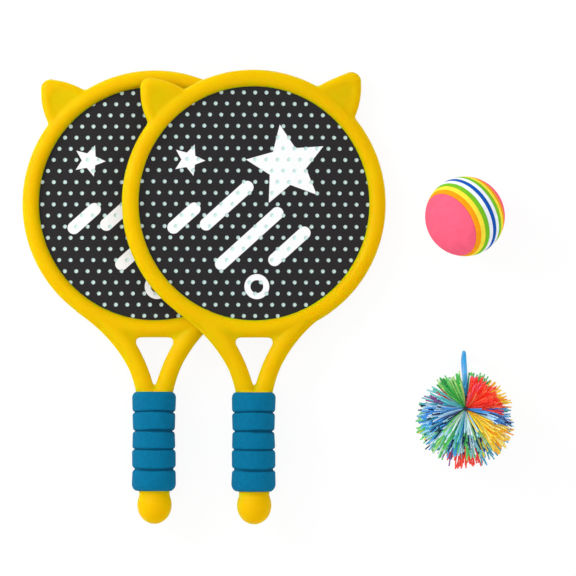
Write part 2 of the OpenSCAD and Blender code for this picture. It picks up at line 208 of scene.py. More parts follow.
# Clearance of the strands round the finger loop, and the part of the ball that they leave free above it
LOOP_CLEAR = 0.15
LOOP_FREE_Y = 15
LOOP_FREE_SLOPE = 0.9
# The finger loop's cord and its route, seen from the core
LOOP_D = 3.2
LOOP_ROUTE = [
    (-0.4, 9.723, -2.2), (-0.4, 13, -2.2), (-0.4, 17, -3.8), (-0.4, 20.5, -8), (-0.4, 23.5, -14),
    (-0.4, 26, -20), (-0.4, 28.5, -26), (-0.4, 31, -31.4), (-0.4, 34, -35.2), (-0.4, 37.2, -36.4),
    (-0.2, 40.6, -35.4), (-0.1, 43.1, -32.4), (0, 43.6, -28.6), (0.1, 41.8, -25), (0.2, 38.2, -22.8),
    (0.4, 34.4, -19.8), (0.4, 31, -15), (0.4, 27.4, -8.8), (0.4, 23, -2.8), (0.4, 18, 1.2),
    (0.4, 13, 2.2), (0.4, 9.723, 2.2),
]
# Each bundle's middle, as a compass turn
BUNDLES = {
    "green": 90, "teal": 135, "blue": 180, "lime": 225, "purple": 270, "yellow": 315, "navy": 0, "red": 45,
}
WEDGE = 360 / len(BUNDLES)
# Colours round the ball: where a zone ends, how thickly it is set, how far its upper strands reach, and
# the colours of its upper and its lower strands
# Among the zones' colours, the near-white one makes strands of painted highlight, and ink makes strands of
# painted shade
ZONES = [
    (6, 1.0, 0.84, ("red", "red", "scarlet"), ("navy", "blue", "yellow", "orange")),
    (30, 1.0, 0.82, ("red", "red", "scarlet", "red"), ("orange", "yellow", "yellow")),
    (52, 1.0, 0.88, ("red", "red", "red", "scarlet"), ("orange", "yellow", "fern")),
    (84, 0.9, 0.92, ("red", "rose", "red"), ("fern", "green", "green", "frost")),
    (108, 0.7, 1.0, ("green", "leaf", "green", "fern"), ("green", "fern", "leaf")),
    (142, 0.42, 1.0, ("green", "leaf", "green", "fern"), ("green", "fern", "green")),
    (158, 0.36, 0.9, ("wine", "teal", "teal"), ("teal", "sea", "green")),
    (174, 0.36, 1.0, ("teal", "plum", "sea"), ("teal", "sea", "frost")),
    (200, 0.95, 0.97, ("blue", "sky", "blue", "sky", "ink", "frost"), ("sea", "green", "fern", "ink")),
    (222, 0.95, 0.95, ("blue", "sky", "green", "teal", "ink"), ("leaf", "green", "green", "yellow")),
    (245, 0.95, 0.94, ("green", "sky", "leaf", "green", "frost"), ("green", "blue", "sea", "ink")),
    (262, 0.95, 0.86, ("sky", "teal", "green", "blue", "ink"), ("plum", "red", "red", "navy")),
    (288, 0.95, 0.84, ("sky", "leaf", "teal", "green", "frost", "ink"), ("red", "red", "scarlet", "red")),
    (304, 0.95, 0.88, ("leaf", "teal", "sky", "yellow", "ink"), ("blue", "sea", "blue")),
    (336, 1.0, 1.0, ("yellow", "yellow", "yellow", "orange", "lemon"), ("yellow", "orange", "sea")),
    (349, 0.95, 1.0, ("blue", "blue", "sky", "navy", "ink"), ("orange", "yellow", "blue")),
    (360, 1.0, 0.84, ("red", "red", "navy", "blue"), ("sea", "blue", "fern")),
]
# Screen colours of the rubber; the near-white one is a painted highlight, not a strand colour, and ink is
# painted shade for the dark gaps between strands
RUBBER = {
    "green": (84, 200, 92), "fern": (48, 156, 74), "leaf": (172, 228, 130), "teal": (110, 206, 214),
    "sea": (56, 168, 186), "blue": (64, 156, 232), "sky": (176, 220, 250), "navy": (32, 82, 168),
    "ink": (18, 38, 78), "frost": (226, 242, 252), "plum": (146, 82, 150), "wine": (200, 52, 76),
    "rose": (246, 92, 118), "red": (255, 62, 44), "scarlet": (255, 116, 72), "orange": (255, 164, 40),
    "yellow": (255, 212, 50), "lemon": (255, 236, 140),
}
CORE_DARK = (34, 20, 40)

# The camera looks straight down on the photo's frame, in pixels and millimetres
PHOTO_PX = 576
PIXEL_MM = 0.793
LENS = 300.0
SENSOR_W = 36.0
AIM = (16.26, 7.33, 15.0)
# The lamp and the floor, in metres
LAMP_WAY = (-0.74, 0.4, 0.55)
LAMP_FAR = 1.7
LAMP_SIZE = 0.6
FLOOR_HALF = 4.0
FLOOR_DROP = 0.0002
# How much of the floor's own glow goes with its shadows
GLOW_LOSS = 0.8


def tint(red, green, blue):
    """A screen colour of 0 to 255 as the linear colour that shaders take."""
    parts = []
    for value in (red, green, blue):
        share = value / 255
        parts.append(share / 12.92 if share <= 0.04045 else ((share + 0.055) / 1.055) ** 2.4)
    return tuple(parts)


def shade(colour, share):
    """A linear colour made darker or lighter."""
    return [min(1, share * part) for part in colour]


def colour_prop(label, words, colour):
    """A colour setting of the panel."""
    return bpy.props.FloatVectorProperty(
        name=label, description=words, subtype="COLOR", size=3, min=0, max=1, default=tint(*colour)
    )


class RacketLooks(bpy.types.PropertyGroup):
    """Colours and finish of the two rackets."""

    frame_colour: colour_prop("Frame", "Moulded plastic of the frame", (240, 197, 0))
    frame_shade: colour_prop("Frame shade", "Deeper patches in the moulded plastic", (239, 191, 0))
    face_colour: colour_prop("Face", "Dark skin of the hitting face", (34, 32, 34))
    print_colour: colour_prop("Print", "Print on the hitting face", (250, 251, 252))
    core_colour: colour_prop("Core", "Sheet that shows in the holes", (214, 242, 238))
    grip_colour: colour_prop("Grip", "Foam of the grip", (0, 104, 142))
    # The groove colour is painted shade: the foam is no darker there, it only lies in shade
    groove_shade_colour: colour_prop("Groove", "Foam in the grooves between the bands", (0, 60, 88))
    skin_step: bpy.props.FloatProperty(
        name="Skin step", description="Cell size of the frame's smooth skin, in millimetres", default=0.9,
        min=0.5, max=2.0,
    )
    blend_rounds: bpy.props.IntProperty(
        name="Blend rounds", description="How softly the frame's parts run into each other", default=10,
        min=0, max=60,
    )


class BallLooks(bpy.types.PropertyGroup):
    """Colours and finish of the two balls."""

    pink: colour_prop("Pink foam", "Caps of the foam ball", (253, 98, 129))
    orange: colour_prop("Orange foam", "Layers beside the caps", (248, 158, 18))
    yellow: colour_prop("Yellow foam", "Second layers", (249, 228, 64))
    green: colour_prop("Green foam", "Third layers", (118, 190, 36))
    white: colour_prop("White foam", "Layers beside the middle", (240, 244, 251))
    blue: colour_prop("Blue foam", "Middle layer", (14, 84, 178))
    loop_colour: colour_prop("Loop", "Finger loop", (30, 162, 232))
    strands: bpy.props.IntProperty(
        name="Strands", description="Strands drawn for each bundle; sparse zones drop some", default=230,
        min=20, max=300,
    )
    strand_r: bpy.props.FloatProperty(
        name="Strand radius", description="Radius of a strand, in millimetres", default=0.58, min=0.3, max=1.2
    )


class StageLooks(bpy.types.PropertyGroup):
    """Floor, sky and lamp."""

    floor_colour: colour_prop("Floor", "Plain floor", (243, 243, 243))
    shadow: bpy.props.FloatProperty(
        name="Shadow", description="How much of the shadows the white floor shows", default=0.12, min=0, max=1
    )
    sky_strength: bpy.props.FloatProperty(
        name="Sky", description="Strength of the even light", default=0.85, min=0, max=2
    )
    lamp_power: bpy.props.FloatProperty(
        name="Lamp", description="Power of the soft lamp at the upper left", default=12.5, min=0, max=100,
        unit="POWER",
    )


# Materials

def start_material(name, roughness):
    """A new material with its node tree and its shader."""
    material = bpy.data.materials.new(name)
    material.use_nodes = True
    tree = material.node_tree
    shader = tree.nodes["Principled BSDF"]
    shader.inputs["Roughness"].default_value = roughness
    return material, tree, shader


def add(tree, kind, sockets=None, **settings):
    """A node with its settings, and each socket linked to an output or set to a value."""
    made = tree.nodes.new(kind)
    for key, value in settings.items():
        setattr(made, key, value)
    for key, value in (sockets or {}).items():
        if isinstance(value, bpy.types.NodeSocket):
            tree.links.new(value, made.inputs[key])
        else:
            made.inputs[key].default_value = value
    return made


def mixed(tree, share, first, second):
    """The mix of two colours by a share, given as sockets or values."""
    first = first if isinstance(first, bpy.types.NodeSocket) else (*first, 1)
    second = second if isinstance(second, bpy.types.NodeSocket) else (*second, 1)
    return add(tree, "ShaderNodeMix", {0: share, 6: first, 7: second}, data_type="RGBA").outputs[2]


def grain(tree, place, scale, detail):
    """Noise of a given number of cells to one unit of the place."""
    return add(tree, "ShaderNodeTexNoise", {"Vector": place, "Scale": scale, "Detail": detail}).outputs[0]


def sharpen(tree, value, low, high):
    """A value stretched so that low becomes 0 and high becomes 1."""
    return add(tree, "ShaderNodeMapRange", {"Value": value, "From Min": low, "From Max": high}).outputs[0]


def number(tree, operation, first, second=0.0):
    """The outcome of a sum on one or two sockets or values."""
    return add(tree, "ShaderNodeMath", {0: first, 1: second}, operation=operation).outputs[0]


def distance(tree, first, second):
    """Distance from the origin of a point with two coordinates."""
    squares = number(tree, "ADD", number(tree, "MULTIPLY", first, first),
                     number(tree, "MULTIPLY", second, second))
    return number(tree, "SQRT", squares)


def seen_from(tree, place, middle, turn=0):
    """The two coordinates of a place on the face, seen from a turned middle."""
    local = add(tree, "ShaderNodeMapping", {"Vector": place, "Location": (*middle, 0),
                                            "Rotation": (0, 0, math.radians(turn))}, vector_type="TEXTURE")
    return add(tree, "ShaderNodeSeparateXYZ", {0: local.outputs[0]}).outputs[:2]


def bumped(tree, shader, height, depth, strength):
    """Relief of a given depth in metres, shown with a given strength."""
    bump = add(tree, "ShaderNodeBump", {"Height": height, "Distance": depth, "Strength": strength})
    tree.links.new(bump.outputs[0], shader.inputs["Normal"])


def object_place(tree):
    """Places on the object, in metres."""
    return add(tree, "ShaderNodeTexCoord").outputs["Object"]


def moulded_plastic(looks):
    """Satin yellow plastic, a little translucent, with a faint flow pattern and a fine moulded grain."""
    material, tree, shader = start_material("moulded_plastic", 0.45)
    shader.inputs["Specular IOR Level"].default_value = 0.06
    shader.inputs["Subsurface Weight"].default_value = 1.0
    shader.inputs["Subsurface Radius"].default_value = (1.0, 0.1, 0.03)
    shader.inputs["Subsurface Scale"].default_value = 0.01
    place = object_place(tree)
    flow = sharpen(tree, grain(tree, place, 22, 3), 0.35, 0.65)
    colour = mixed(tree, flow, looks.frame_colour, looks.frame_shade)
    tree.links.new(colour, shader.inputs["Base Color"])
    rub = sharpen(tree, grain(tree, place, 160, 4), 0.3, 0.7)
    tree.links.new(add(tree, "ShaderNodeMapRange", {"Value": rub, "To Min": 0.4, "To Max": 0.52}).outputs[0],
                   shader.inputs["Roughness"])
    bumped(tree, shader, grain(tree, place, 1400, 2), 0.00003, 0.6)
    return material


def bar_distance(tree, place, middle, half_length):
    """Distance outside a rounded bar, in millimetres."""
    x, y = seen_from(tree, place, middle, BAR_TURN)
    past_end = number(tree, "SUBTRACT", number(tree, "ABSOLUTE", x), half_length)
    return number(tree, "SUBTRACT", distance(tree, number(tree, "MAXIMUM", past_end, 0.0), y), BAR_R)


def star_distance(tree, place, middle, turn, outer, inner):
    """Distance outside the edge line of a five-point star, in millimetres."""
    x, y = seen_from(tree, place, middle, turn)
    reach = distance(tree, x, y)
    sector = number(tree, "PINGPONG", number(tree, "ARCTAN2", y, x), math.pi / 5)
    side = number(tree, "MULTIPLY", reach, number(tree, "SINE", sector))
    front = number(tree, "MULTIPLY", reach, number(tree, "COSINE", sector))
    edge = Vector((inner * math.cos(math.pi / 5) - outer, inner * math.sin(math.pi / 5))).normalized()
    out_of_edge = number(tree, "MULTIPLY", number(tree, "SUBTRACT", front, outer), edge.y)
    return number(tree, "SUBTRACT", out_of_edge, number(tree, "MULTIPLY", side, edge.x))


def ring_distance(tree, place, middle, radius, half_width):
    """Distance outside a ring's line, in millimetres."""
    off_line = number(tree, "SUBTRACT", distance(tree, *seen_from(tree, place, middle)), radius)
    return number(tree, "SUBTRACT", number(tree, "ABSOLUTE", off_line), half_width)


def racket_place(tree, side):
    """Places seen from the middle of a racket's head, in millimetres."""
    turn = LAYS[side].to_3x3().normalized().to_euler("XYZ")
    return add(tree, "ShaderNodeMapping", {
        "Vector": object_place(tree), "Location": LAYS[side].translation, "Rotation": turn,
        "Scale": (MILLI, MILLI, MILLI)}, vector_type="TEXTURE").outputs[0]


def face_skin(looks, side, printed):
    """Dark skin with a fine pressed grain, and on the front a white print of stars, bars and a ring."""
    material, tree, shader = start_material(f"{side}_face_{'front' if printed else 'back'}", 0.6)
    shader.inputs["Specular IOR Level"].default_value = 0.2
    place = racket_place(tree, side)
    mottle = sharpen(tree, grain(tree, place, 0.9, 4), 0.3, 0.7)
    dark = mixed(tree, mottle, shade(looks.face_colour, 0.82), shade(looks.face_colour, 1.15))
    fibre = grain(tree, place, 2.6, 3)
    bumped(tree, shader, fibre, 0.00006, 0.5)
    if not printed:
        tree.links.new(dark, shader.inputs["Base Color"])
        return material
    shapes = [
        *(star_distance(tree, place, *star) for star in PRINT_STARS),
        *(bar_distance(tree, place, *bar) for bar in PRINT_BARS),
        ring_distance(tree, place, *PRINT_RING),
    ]
    nearest = shapes[0]
    for shape in shapes[1:]:
        nearest = number(tree, "MINIMUM", nearest, shape)
    inked = sharpen(tree, nearest, INK_EDGE, -INK_EDGE)
    ink = mixed(tree, mottle, looks.print_colour, shade(looks.print_colour, 0.96))
    tree.links.new(mixed(tree, inked, dark, ink), shader.inputs["Base Color"])
    return material


def core_sheet(looks):
    """Pale sheet with a faint speckle."""
    material, tree, shader = start_material("core_sheet", 0.5)
    speckle = sharpen(tree, grain(tree, object_place(tree), 900, 2), 0.35, 0.65)
    colour = mixed(tree, speckle, looks.core_colour, shade(looks.core_colour, 0.93))
    tree.links.new(colour, shader.inputs["Base Color"])
    bumped(tree, shader, speckle, 0.00003, 0.4)
    return material


def foam(name, colour, cells, glow):
    """Matte closed-cell foam: fine cells in relief, a soft mottle, and a painted glow of its own colour that
    lifts its shaded sides.
    """
    material, tree, shader = start_material(name, 0.85)
    shader.inputs["Specular IOR Level"].default_value = 0.1
    place = object_place(tree)
    mottle = sharpen(tree, grain(tree, place, cells / 6, 5), 0.3, 0.7)
    pores = add(tree, "ShaderNodeTexVoronoi", {"Vector": place, "Scale": cells}).outputs["Distance"]
    cell_share = sharpen(tree, pores, 0.1, 0.7)
    base = mixed(tree, mottle, shade(colour, 0.9), shade(colour, 1.06))
    base = mixed(tree, number(tree, "MULTIPLY", cell_share, 0.16), base, shade(colour, 0.72))
    tree.links.new(base, shader.inputs["Base Color"])
    # Painted glow: the foam gives off its own colour, so its shaded sides render lighter than the lamps make
    # them
    tree.links.new(base, shader.inputs["Emission Color"])
    shader.inputs["Emission Strength"].default_value = glow
    bumped(tree, shader, cell_share, -0.00012, 0.55)
    return material


def groove_shade_mask(tree, side):
    """Share of painted shade in the grooves between the grip's bands, by how deep a place lies, from 0 to 1;
    0 at the grip's ends.
    """
    x, y, z = add(tree, "ShaderNodeSeparateXYZ", {0: racket_place(tree, side)}).outputs
    deep = sharpen(tree, distance(tree, x, z), *(GRIP_R - depth for depth in GROOVE_SHADE_DEPTHS))
    off_middle = number(tree, "ABSOLUTE", number(tree, "ADD", y, GRIP_START + GRIP_L / 2))
    return number(tree, "MULTIPLY", deep, number(tree, "LESS_THAN", off_middle, GRIP_L / 2 - PLAIN_END_L))


def grip_foam(looks, side):
    """The grip's foam, with painted shade deepening its colour down in its grooves."""
    material = foam(f"{side}_grip_foam", looks.grip_colour, cells=1700, glow=0.2)
    tree = material.node_tree
    base = tree.nodes["Principled BSDF"].inputs["Base Color"]
    plain = base.links[0].from_socket
    # Painted shade: the darker colour is mixed in by how deep the place lies in a groove
    tree.links.new(mixed(tree, groove_shade_mask(tree, side), plain, looks.groove_shade_colour), base)
    return material


def rubber(name, colour, glow):
    """Glossy soft rubber, a little uneven along its length, with a painted glow of its own colour that lifts
    its shade.
    """
    material, tree, shader = start_material(name, 0.22)
    place = object_place(tree)
    streak = sharpen(tree, grain(tree, place, 260, 3), 0.3, 0.7)
    base = mixed(tree, streak, shade(colour, 0.8), shade(colour, 1.1))
    tree.links.new(base, shader.inputs["Base Color"])
    # Painted glow: the rubber gives off its own colour, so its shaded parts render lighter than the lamps
    # make them
    tree.links.new(base, shader.inputs["Emission Color"])
    shader.inputs["Emission Strength"].default_value = glow
    bumped(tree, shader, grain(tree, place, 2200, 2), 0.00004, 0.4)
    return material


# Shapes

def join(bm, part, matrix=Matrix()):
    """Adds a copy of one bmesh to another, moved by a matrix."""
    spare = bpy.data.meshes.new("part")
    part.to_mesh(spare)
    spare.transform(matrix)
    bm.from_mesh(spare)
    bpy.data.meshes.remove(spare)


def lathe(bm, points, steps, axis="Y"):
    """A closed turned shape from a profile of (radius, height) points about an axis."""
    verts = [bm.verts.new((r, h, 0) if axis == "Y" else (r, 0, h)) for r, h in points]
    edges = [bm.edges.new(pair) for pair in zip(verts, verts[1:])]
    if points[0][0] > 0:
        edges.append(bm.edges.new((verts[-1], verts[0])))
    way = (0, 1, 0) if axis == "Y" else (0, 0, 1)
    bmesh.ops.spin(bm, geom=verts + edges, cent=(0, 0, 0), axis=way, angle=math.tau, steps=steps,
                   use_merge=True)
    bmesh.ops.remove_doubles(bm, verts=bm.verts, dist=TINY)


def arc_tube(bm, middle, bend_r, start, sweep, tube_r, steps):
    """A round tube along an arc in the racket's plane, with its skin's smoothing made up for; a full turn
    closes on itself."""
    whole = sweep >= math.tau
    at = (Matrix.Translation((*middle, 0)) @ Matrix.Rotation(start, 4, "Z")
          @ Matrix.Translation((bend_r, 0, 0)) @ Matrix.Rotation(math.pi / 2, 4, "X"))
    made = bmesh.ops.create_circle(bm, cap_ends=not whole, segments=32,
                                   radius=tube_r + SMOOTHED_OFF, matrix=at)
    edges = {edge for vert in made["verts"] for edge in vert.link_edges}
    faces = {face for vert in made["verts"] for face in vert.link_faces}
    bmesh.ops.spin(bm, geom=[*made["verts"], *edges, *faces], cent=(*middle, 0), axis=(0, 0, 1), angle=sweep,
                   steps=steps, use_merge=whole)


def plate(bm, outline, thickness, rounded=None, radius=0.0):
    """A flat plate with a given outline, halfway through the racket's plane."""
    verts = [bm.verts.new((x, y, -thickness / 2)) for x, y in outline]
    face = bm.faces.new(verts)
    if rounded is not None:
        made = bmesh.ops.bevel(bm, geom=[verts[rounded]], offset=radius, offset_type="OFFSET", segments=6,
                               profile=0.5, affect="VERTICES", material=-1)
        face = next(f for f in made["faces"] + list(verts[0].link_faces) if f.is_valid)
    made = bmesh.ops.extrude_face_region(bm, geom=[face])
    top = [item for item in made["geom"] if isinstance(item, bmesh.types.BMVert)]
    bmesh.ops.translate(bm, verts=top, vec=(0, 0, thickness))


def ear(bm, reach, *bows):
    """An ear at the right: two bowed edges, a rounded tip and the field between them."""
    tip = polar(reach - EAR_TIP_R, EAR_ANGLE)
    outline = []
    for side, bow in zip((-1, 1), bows):
        foot = polar(RING_R, EAR_ANGLE + side * EAR_SPREAD / 2)
        end = tip + polar(EAR_TIP_R - EAR_TIP_HALF_T, EAR_ANGLE + side * EAR_TIP_TURN)
        chord = end - foot
        bow_r = (chord.length_squared / 4 + bow ** 2) / (2 * bow)
        out = side * Vector((chord.y, -chord.x)).normalized()
        middle = (foot + end) / 2 - (bow_r - bow) * out
        first = (foot if side > 0 else end) - middle
        sweep = 2 * math.asin(chord.length / (2 * bow_r))
        arc_tube(bm, middle, bow_r, math.atan2(first.y, first.x), sweep, EAR_EDGE_R, steps=20)
        crest = middle + bow_r * out
        outline.append([foot, crest, end])
    squash = Matrix.Diagonal((1, 1, (EAR_TIP_HALF_T + SMOOTHED_OFF) / EAR_TIP_R, 1))
    bmesh.ops.create_icosphere(bm, subdivisions=4, radius=EAR_TIP_R + SMOOTHED_OFF,
                               matrix=Matrix.Translation((*tip, 0)) @ squash)
    plate(bm, [*outline[0], *reversed(outline[1])], EAR_FIELD_T)


def throat_web(bm):
    """Right half of the web that rounds the throat opening's corners, and of the crotch below it."""
    ends = [(x, WEB_END_Y) for x in reversed(WEB_END_X)]
    corner = (WEB_CORNER_X, WEB_LIP_Y)
    outline = [(0, -RING_R), ARM_ROOT, *ends, corner, (0, WEB_LIP_Y)]
    plate(bm, outline, WEB_T, rounded=outline.index(corner), radius=WEB_CORNER_R)
    low = -GRIP_START - CROTCH_SUNK
    high = CROTCH_L - GRIP_START
    plate(bm, [(0, low), (ARM_FOOT_X, low), (ARM_FOOT_X, high), (0, high)], WEB_T)


def gusset(bm, bulge):
    """The flat outer side of the right arm, which runs out of the ring and down into the arm."""
    outer, inner = [], []
    steps = 12
    for i in range(steps + 1):
        turn = GUSSET_ARC[0] + (GUSSET_ARC[1] - GUSSET_ARC[0]) * i / steps
        angle = math.radians(ARM_START + turn)
        way = Vector((math.cos(angle), math.sin(angle)))
        out = ARM_R + bulge * math.cos(math.pi / 2 * i / steps) ** 2
        outer.append(ARM_MIDDLE + (ARM_BEND_R - out) * way)
        inner.append(ARM_MIDDLE + ARM_BEND_R * way)
    plate(bm, [*outer, *reversed(inner)], WEB_T)


def fused_skin(bm, step, rounds):
    """One closed skin round overlapping shapes, with the creases between them smoothed."""
    bmesh.ops.recalc_face_normals(bm, faces=bm.faces)
    mesh = bpy.data.meshes.new("fused")
    bm.to_mesh(mesh)
    bm.free()
    rough = bpy.data.objects.new("fused", mesh)
    bpy.context.scene.collection.objects.link(rough)
    remesh = rough.modifiers.new("skin", "REMESH")
    remesh.mode = "VOXEL"
    remesh.voxel_size = step
    skin = bmesh.new()
    skin.from_object(rough, bpy.context.evaluated_depsgraph_get())
    bpy.data.objects.remove(rough)
    bpy.data.meshes.remove(mesh)
    for _ in range(rounds):
        bmesh.ops.smooth_vert(skin, verts=skin.verts, factor=0.5, use_axis_x=True, use_axis_y=True,
                              use_axis_z=True)
    return skin


def throat_arm():
    """The right arm of the throat."""
    arm = bmesh.new()
    arc_tube(arm, ARM_MIDDLE, ARM_BEND_R, math.radians(ARM_START), math.radians(ARM_TURN + ARM_RUN_ON), ARM_R,
             steps=36)
    bmesh.ops.scale(arm, vec=(1, 1, ARM_FLAT), verts=arm.verts)
    for vert in arm.verts:
        lower = min(max((-FLARE_Y - vert.co.y) / (GRIP_START - FLARE_Y), 0), 1)
        vert.co.x *= 1 + ARM_FLARE * lower ** 2
    return arm


def handle():
    """The handle in the grip, the lip below it and the ball end, as one turned shape."""
    lip = -GRIP_START - GRIP_L - LIP_L
    steps = 16
    knob_start = math.asin((NECK_R - LIP_DEPTH) / KNOB_R)
    turns = [knob_start + (math.pi - knob_start) * i / steps for i in range(steps + 1)]
    knob = [(KNOB_R * math.sin(a), -KNOB_Y + KNOB_L * math.cos(a)) for a in turns]
    knob[-1] = (0, -KNOB_Y - KNOB_L)
    turned = bmesh.new()
    lathe(turned, [(0, -GRIP_START), (HANDLE_TOP_R, -GRIP_START), (NECK_R, lip), *knob], steps=64)
    return turned


def racket_frame(looks):
    """The frame's smooth outer skin, in the racket's own place."""
    bm = bmesh.new()
    arc_tube(bm, (0, 0), RING_R, 0, math.tau, TUBE_R, steps=240)
    bmesh.ops.scale(bm, vec=(1, RING_TALL, 1), verts=bm.verts)
    arm = throat_arm()
    for flip, sizes in EARS.items():
        mirror = Matrix.Diagonal((flip, 1, 1, 1))
        horn = bmesh.new()
        ear(horn, *sizes)
        web = bmesh.new()
        throat_web(web)
        gusset(web, GUSSETS[flip])
        join(bm, horn, Matrix.Rotation(math.radians(EAR_TURN), 4, "Z") @ mirror)
        join(bm, web, mirror)
        join(bm, arm, mirror)
        horn.free()
        web.free()
    arm.free()
    turned = handle()
    join(bm, turned)
    turned.free()
    return fused_skin(bm, looks.skin_step, looks.blend_rounds)


def half_of(skin, side):
    """The half of a frame on one side of its parting line, closed with a flat face."""
    half = skin.copy()
    cut = bmesh.ops.bisect_plane(half, geom=[*half.verts, *half.edges, *half.faces], dist=TINY,
                                 plane_co=(0, 0, side * PARTING), plane_no=(0, 0, -side), clear_outer=True)
    edges = [item for item in cut["geom_cut"] if isinstance(item, bmesh.types.BMEdge)]
    bmesh.ops.triangle_fill(half, use_beauty=True, use_dissolve=False, edges=edges)
    bmesh.ops.recalc_face_normals(half, faces=half.faces)
    return half


def add_piece(name, bm, materials, body, slot, *nodes):
    """A finished piece from a bmesh that is already in its place, in metres."""
    mesh = bpy.data.meshes.new(name)
    bm.to_mesh(mesh)
    bm.free()
    for material in materials:
        mesh.materials.append(material)
    mesh.polygons.foreach_set("use_smooth", [True] * len(mesh.polygons))
    piece = bpy.data.objects.new(name, mesh)
    bpy.context.scene.collection.objects.link(piece)
    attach(piece, body)
    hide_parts(*nodes)
    return piece


def paint_node(name, material):
    """Gives a CAD node's object one material."""
    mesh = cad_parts[name].data
    mesh.materials.clear()
    mesh.materials.append(material)


def band_edge(at, depth, length):
    """Rounded edge of a band that starts at a distance down the grip, as (radius, distance) points."""
    steps = 7
    turns = [math.pi / 2 * i / steps for i in range(steps + 1)]
    return [(GRIP_R - depth * (1 - math.sin(a)), at + length * (1 - math.cos(a))) for a in turns]


def grip_sleeve():
    """Foam sleeve of five bands, squeezed a little uneven, in the racket's own place."""
    tops = [(0, *GRIP_ENDS[0])] + [(at + w / 2, GROOVE_DEPTH, BAND_EDGE_L) for at, w in GROOVES]
    ends = [(at - w / 2, GROOVE_DEPTH, -BAND_EDGE_L) for at, w in GROOVES]
    ends.append((GRIP_L, GRIP_ENDS[1][0], -GRIP_ENDS[1][1]))
    profile = []
    for top, end in zip(tops, ends):
        profile += band_edge(*top) + band_edge(*end)[::-1]
    profile += [(NECK_R + FOAM_FIT, GRIP_L), (HANDLE_TOP_R + FOAM_FIT, 0)]
    bm = bmesh.new()
    lathe(bm, [(r, -GRIP_START - d) for r, d in profile], steps=96)
    bmesh.ops.recalc_face_normals(bm, faces=bm.faces)
    for vert in bm.verts:
        out = Vector((vert.co.x, 0, vert.co.z))
        if out.length < HANDLE_TOP_R + BORE_SKIN:
            continue
        along = -GRIP_START - vert.co.y
        inner = min(1, along / BAND_BOW_FADE, (GRIP_L - along) / BAND_BOW_FADE)
        waist = GRIP_WAIST * math.exp(-((along - WAIST_AT) / WAIST_SPREAD) ** 2)
        flat = UNDERSIDE_FLAT * max(0, -out.normalized().z) ** 2
        swell = sum(noise.noise(vert.co * cells) * height for cells, height in LUMPS) - waist - flat
        bow = inner * (BAND_BOW - BAND_BOW_FALL * along) * (vert.co.z / GRIP_R) ** 2
        vert.co += out.normalized() * swell
        vert.co += Vector((-GRIP_ASIDE, bow, 0))
    return bm


def foam_slice(index):
    """One layer of the foam ball about its own axis, with softened edges."""
    last = len(FOAM_LAYERS) - 1
    high = FOAM_R if index == 0 else (last / 2 - index + 0.5) * SHEET_T - GLUE_GAP
    low = -FOAM_R if index == last else (last / 2 - index - 0.5) * SHEET_T + GLUE_GAP
    top = math.asin(high / FOAM_R)
    bottom = math.asin(low / FOAM_R)
    steps = 24 if index in (0, last) else 8
    turns = [bottom + (top - bottom) * i / steps for i in range(steps + 1)]
    arc = [(FOAM_R * math.cos(a), FOAM_R * math.sin(a)) for a in turns]
    if index != last:
        arc[0] = (arc[0][0] - SOFT_EDGE, arc[0][1])
    if index != 0:
        arc[-1] = (arc[-1][0] - SOFT_EDGE, arc[-1][1])
    points = arc if index == last else [(0, low), *arc]
    points = points if index == 0 else [*points, (0, high)]
    points[0] = (0, points[0][1])
    points[-1] = (0, points[-1][1])
    bm = bmesh.new()
    lathe(bm, points, steps=128, axis="Z")
    bmesh.ops.recalc_face_normals(bm, faces=bm.faces)
    place = (MM @ Matrix.Translation(FOAM_BALL_AT) @ Matrix.Rotation(math.radians(CAP_TURN), 4, "Z")
             @ Matrix.Rotation(math.radians(90 - CAP_RISE), 4, "Y"))
    bmesh.ops.transform(bm, matrix=place, verts=bm.verts)
    return bm


def strand_reach(way):
    """Distance from the core to the ball's outside along a direction."""
    down = -way.y * CORE_SHIFT
    return down + math.sqrt(down ** 2 - CORE_SHIFT ** 2 + STRING_R ** 2)


def heading(turn, rise):
    """The direction of a compass turn and a rise, both in degrees."""
    turn, rise = math.radians(turn), math.radians(rise)
    return Vector((math.cos(turn) * math.cos(rise), math.sin(turn) * math.cos(rise), math.sin(rise)))


def strand_line(draw, turn, rise, reach):
    """Points of one strand, seen from the core: it rises, sways aside, bends outwards and droops."""
    steps = 6
    droop = DROOP + DROOP_FROM_TOP * max(rise, 0) + draw.uniform(*DROOP_SPREAD)
    sway = draw.uniform(-SWAY, SWAY)
    at = ROOT_R * heading(turn, rise)
    line = [at]
    for i in range(steps):
        share = (i + 0.5) / steps
        at = at + heading(turn + sway * (share - SWAY_BACK), rise - droop * share ** DROOP_BEND)
        line.append(at)
    stretch = strand_reach(line[-1].normalized()) * reach * draw.uniform(*STRAND_SHARE)
    root, tip = line[0].length, line[-1].length
    scaled = []
    for point in line:
        share = (point.length - root) / (tip - root)
        scaled.append(point.normalized() * (root + (stretch - root) * share))
    floor = -CORE_AT[2] + STRAND_FLOOR
    return [Vector((p.x, p.y, max(p.z, floor))) for p in scaled]


def in_loop(line, reach):
    """Whether a strand would lie in the finger loop, or over it."""
    route = [Vector(p) for p in LOOP_ROUTE]
    spots = route + [(a + b) / 2 for a, b in zip(route, route[1:])]
    middles = line + [(a + b) / 2 for a, b in zip(line, line[1:])]
    over = any(abs(p.x) < reach and p.y > LOOP_FREE_Y and p.z > -LOOP_FREE_SLOPE * p.y for p in middles)
    return over or any((p - q).length < reach for p in middles for q in spots)


